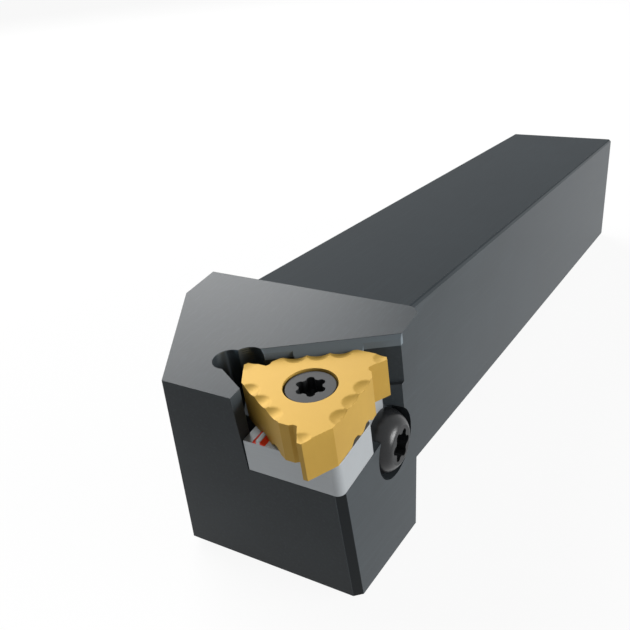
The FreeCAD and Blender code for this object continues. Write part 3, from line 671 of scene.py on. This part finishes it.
def thread_tree(finish):
    """A geometry tree that winds a thread's ridge round the Z axis, from 0 upwards."""
    group = bpy.data.node_groups.new("screw_thread", "GeometryNodeTree")
    group.is_modifier = True
    group.interface.new_socket("Geometry", in_out="INPUT", socket_type="NodeSocketGeometry")
    for name in THREAD_INPUTS:
        group.interface.new_socket(name, in_out="INPUT", socket_type="NodeSocketFloat")
    group.interface.new_socket("Geometry", in_out="OUTPUT", socket_type="NodeSocketGeometry")

    winding = Tree(group)
    core, outer, pitch, length = winding.node("NodeGroupInput", output=THREAD_INPUTS)
    depth = outer - core
    turns = length / pitch
    path = {
        "Resolution": TURN_SIDES,
        "Rotations": turns,
        "Start Radius": core,
        "End Radius": core,
        "Height": length,
    }
    spiral = winding.node("GeometryNodeCurveSpiral", values=path)
    upright = winding.node("GeometryNodeSetCurveNormal", {"mode": "Z_UP"}, {"Curve": spiral})

    # The ridge grows out of the core over the first turn and sinks into it over the last
    from_start = winding.node("GeometryNodeSplineParameter", output="Factor") * turns
    nearest_end = turns.maths("MINIMUM", from_start, turns - from_start)
    size = turns.maths("MAXIMUM", turns.maths("MINIMUM", nearest_end, 1.0), RIDGE_END)
    sized = winding.node("GeometryNodeSetCurveRadius", values={"Curve": upright, "Radius": size})

    # The ridge's section: wide on the core, narrow at the crest, outward along minus X
    foot, crest = depth * RIDGE_SUNK, depth * -1.0
    section = (
        (foot, -RIDGE_FOOT),
        (crest, -RIDGE_CREST),
        (crest, RIDGE_CREST),
        (foot, RIDGE_FOOT),
    )
    corners = {}
    for number, (across, along) in enumerate(section, start=1):
        place = {"X": across, "Y": pitch * along}
        corners[f"Point {number}"] = winding.node("ShaderNodeCombineXYZ", values=place)
    profile = winding.node("GeometryNodeCurvePrimitiveQuadrilateral", {"mode": "POINTS"}, corners)
    swept = {"Curve": sized, "Profile Curve": profile, "Fill Caps": True}
    ridge = winding.node("GeometryNodeCurveToMesh", values=swept)

    real = winding.node("GeometryNodeRealizeInstances", values=[ridge])
    coated = winding.node("GeometryNodeSetMaterial", values={"Geometry": real, "Material": finish})
    winding.node("NodeGroupOutput", values=[coated])
    return group


def wind_thread(name, finish, place, sizes):
    """A thread's ridge as a plain mesh, put in place."""
    made = new_object(name, bpy.data.meshes.new(name))
    winding = made.modifiers.new("winding", "NODES")
    winding.node_group = thread_tree(finish)
    for label, given in zip(THREAD_INPUTS, sizes):
        put_input(winding, label, given)
    settle_modifiers(made)
    made.data.transform(place)
    outward = bmesh.new()
    outward.from_mesh(made.data)
    bmesh.ops.recalc_face_normals(outward, faces=outward.faces)
    outward.to_mesh(made.data)
    outward.free()
    return made


def cut_across(cleaned, top, axis, depths):
    """Cut a mesh across its axis at depths below a point on it."""
    for depth in depths:
        everything = cleaned.verts[:] + cleaned.edges[:] + cleaned.faces[:]
        bmesh.ops.bisect_plane(
            cleaned, geom=everything, plane_co=top - axis * depth, plane_no=axis, dist=EXACT
        )


def from_axis(vertex, top, axis):
    """A vertex's depth below a point on an axis, its foot on the axis, and the way to it."""
    depth = (top - vertex.co).dot(axis)
    foot = top - axis * depth
    return depth, foot, vertex.co - foot


def round_dome(cleaned, top, axis, dome):
    """Turn the sloping steps of a domed head into one smooth curve."""
    rim, face, rim_radius, face_radius, inside = dome
    shares = [math.sin(math.pi / 2 * step / DOME_STEPS) for step in range(DOME_STEPS)]
    cut_across(cleaned, top, axis, [-(rim + (face - rim) * share) for share in shares])
    for vertex in cleaned.verts:
        depth, foot, across = from_axis(vertex, top, axis)
        if rim < -depth < face - DOME_MARGIN and across.length > inside:
            share = (-depth - rim) / (face - rim)
            bulge = (1.0 - share ** DOME_POWER) ** (1.0 / DOME_POWER)
            radius = face_radius + (rim_radius - face_radius) * bulge
            vertex.co = foot + across.normalized() * radius


def slim_core(cleaned, top, axis, start, end, core):
    """Turn the shaft down to the thread's core between two narrow shoulders."""
    shoulder = THREAD_SHOULDER
    cut_across(cleaned, top, axis, (start, start + shoulder, end - shoulder, end))
    for vertex in cleaned.verts:
        depth, foot, across = from_axis(vertex, top, axis)
        inside = start + shoulder / 2 < depth < end - shoulder / 2
        if inside and across.length > core:
            vertex.co = foot + across.normalized() * core


def make_screw(node, name, body, top, axis, reach, outer, pitch, head=0.0, dome=None):
    """A screw: the node's head, a slimmer core where the thread is, and the thread itself."""
    start, end = reach
    core = outer - pitch * bpy.context.scene.tool_threads.depth
    finish = black_oxide(axis, top + axis * head, top - axis * start)

    def turn_down(cleaned):
        if dome:
            round_dome(cleaned, top, axis, dome)
        slim_core(cleaned, top, axis, start, end, core)

    dress(node, name, bpy.context.scene.tool_edges.screws, [finish], body, turn_down)

    turned = axis.to_track_quat("Z", "Y").to_matrix().to_4x4()
    place = Matrix.Translation(top - axis * end) @ turned
    ridge = wind_thread(f"{name}_thread", finish, place, (core, outer, pitch, end - start))
    smooth(ridge, THREAD_CREASE)
    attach(ridge, body)


class DressHolder(bpy.types.Operator):
    """Break the holder's edges and give it its blackened finish"""

    bl_idname = "tool_holder.dress_holder"
    bl_label = "Finish the holder"

    def execute(self, context):
        width = context.scene.tool_edges.holder
        dress("holder", "holder_steel", width, [blackened_steel(), worn_edge_and_painted_highlight()], "holder")
        return {"FINISHED"}


class DressShim(bpy.types.Operator):
    """Break the shim's edges and give it its ground finish"""

    bl_idname = "tool_holder.dress_shim"
    bl_label = "Finish the shim"

    def execute(self, context):
        width = context.scene.tool_edges.shim
        dress("shim", "shim_plate", width, [ground_hard_metal()], "shim")
        return {"FINISHED"}


class DressInsert(bpy.types.Operator):
    """Hone the insert's edges and give it its gold coating"""

    bl_idname = "tool_holder.dress_insert"
    bl_label = "Finish the insert"

    def execute(self, context):
        width = context.scene.tool_edges.insert
        dress("insert", "insert_plate", width, [gold_coating()], "insert")
        return {"FINISHED"}


class MakeInsertScrew(bpy.types.Operator):
    """Make the insert screw with its thread"""

    bl_idname = "tool_holder.make_insert_screw"
    bl_label = "Make the insert screw"

    def execute(self, context):
        sizes = context.scene.tool_threads
        make_screw(
            "insert_screw", "insert_screw_steel", "insert_screw",
            SCREW_HEAD_TOP, SEAT_NORMAL, INSERT_THREAD, sizes.insert_outer, sizes.insert_pitch,
        )
        return {"FINISHED"}


class MakeShimScrew(bpy.types.Operator):
    """Make the shim screw with its thread"""

    bl_idname = "tool_holder.make_shim_screw"
    bl_label = "Make the shim screw"

    def execute(self, context):
        sizes = context.scene.tool_threads
        make_screw(
            "shim_screw", "shim_screw_steel", "shim_screw",
            SIDE_SCREW, SIDE_AXIS, SHIM_THREAD, sizes.shim_outer, sizes.shim_pitch,
            head=SIDE_HEAD, dome=SIDE_DOME,
        )
        return {"FINISHED"}


def floor_finish():
    """A pale floor that shows near white and keeps soft shadows."""
    floor = Finish("floor")
    matte = floor.node("ShaderNodeBsdfDiffuse", values={"Color": colours().floor})
    bright = floor.node("ShaderNodeEmission", values={"Color": WHITE, "Strength": FLOOR_GLOW})
    share = floor.seen_directly() * FLOOR_BRIGHT_SHARE
    mixed = floor.node("ShaderNodeMixShader", values=[share, matte, bright])
    floor.node("ShaderNodeOutputMaterial", values=[mixed])
    return floor.material


def lay_floor():
    """A floor under the tool, which stands on its head's rear edge and its shank's far end."""
    low = Vector((0.0, HEAD_REAR, HEAD_BOTTOM))
    far = Vector((0.0, SHANK_HALF, 0.0))
    lean = math.atan2(far.z - low.z, far.y - low.y)
    mesh = bpy.data.meshes.new("floor")
    half = FLOOR_HALF
    corners = [(-half, -half, 0), (half, -half, 0), (half, half, 0), (-half, half, 0)]
    mesh.from_pydata(corners, [], [(0, 1, 2, 3)])
    under = Matrix.Translation(low - Vector((0, 0, FLOOR_GAP)))
    mesh.transform(under @ Matrix.Rotation(lean, 4, "X"))
    mesh.materials.append(floor_finish())
    floor = new_object("floor", mesh)


def add_lamp(name, place, size, power):
    """A soft rectangular lamp that looks at the tool."""
    lamp = bpy.data.lights.new(name, "AREA")
    lamp.shape = "RECTANGLE"
    lamp.size, lamp.size_y = size
    lamp.energy = power
    made = new_object(name, lamp)
    made.location = place
    ahead = Vector(LAMP_TARGET) - Vector(place)
    made.rotation_euler = ahead.to_track_quat("-Z", "Y").to_euler()


def set_world():
    """An even soft light all round, which the camera sees as white."""
    world = bpy.data.worlds.new("studio")
    world.use_nodes = True
    bpy.context.scene.world = world
    studio = Tree(world.node_tree)
    around = studio.node("ShaderNodeBackground", values={"Color": WHITE, "Strength": WORLD_LIGHT})
    white = studio.node("ShaderNodeBackground", values={"Color": WHITE, "Strength": WORLD_SEEN})
    choice = studio.node("ShaderNodeMixShader", values=[studio.seen_directly(), around, white])
    studio.node("ShaderNodeOutputWorld", values=[choice])


def add_camera():
    """The camera at the picture's viewing angle."""
    camera = bpy.data.cameras.new("camera")
    camera.sensor_width = SENSOR_WIDTH
    camera.lens = CAMERA_FOCUS * SENSOR_WIDTH / PICTURE_WIDTH
    camera.clip_start = CAMERA_NEAR
    made = new_object("camera", camera)
    right = Vector(CAMERA_RIGHT).normalized()
    back = Vector(CAMERA_BACK).normalized()
    up = back.cross(right).normalized()
    turn = Matrix((right, up, back)).transposed().to_4x4()
    made.matrix_world = Matrix.Translation(CAMERA_PLACE) @ turn
    return made


class SetStage(bpy.types.Operator):
    """Lay the floor under the tool and place the lamps and the camera"""

    bl_idname = "tool_holder.set_stage"
    bl_label = "Set the stage"

    def execute(self, context):
        lay_floor()
        set_world()
        for name, (place, size, power) in LAMPS.items():
            add_lamp(name, place, size, power)
        context.scene.camera = add_camera()
        context.scene.view_settings.view_transform = "Standard"
        return {"FINISHED"}


STEPS = (DressHolder, DressShim, DressInsert, MakeInsertScrew, MakeShimScrew, SetStage)


class ToolHolderPanel(bpy.types.Panel):
    """Sizes, colours and steps of the tool holder"""

    bl_idname = "VIEW3D_PT_tool_holder"
    bl_label = "Tool holder"
    bl_space_type = "VIEW_3D"
    bl_region_type = "UI"
    bl_category = "Tool holder"

    def draw(self, context):
        scene = context.scene
        for group in (scene.tool_edges, scene.tool_threads, scene.tool_finishes):
            box = self.layout.box()
            for name in group.bl_rna.properties.keys():
                if name not in ("rna_type", "name"):
                    box.prop(group, name)
        for step in STEPS:
            self.layout.operator(step.bl_idname)


GROUPS = (("tool_edges", EdgeSizes), ("tool_threads", ThreadSizes), ("tool_finishes", Finishes))


def register():
    """Add the sizes, the colours, the steps and the panel."""
    for name, group in GROUPS:
        bpy.utils.register_class(group)
        setattr(bpy.types.Scene, name, PointerProperty(type=group))
    for step in (*STEPS, ToolHolderPanel):
        bpy.utils.register_class(step)


def unregister():
    """Take the sizes, the colours, the steps and the panel away."""
    for step in reversed((*STEPS, ToolHolderPanel)):
        bpy.utils.unregister_class(step)
    for name, group in reversed(GROUPS):
        delattr(bpy.types.Scene, name)
        bpy.utils.unregister_class(group)


def main():
    """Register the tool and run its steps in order."""
    register()
    for step in STEPS:
        family, name = step.bl_idname.split(".")
        getattr(getattr(bpy.ops, family), name)()


if __name__ == "__main__":
    main()
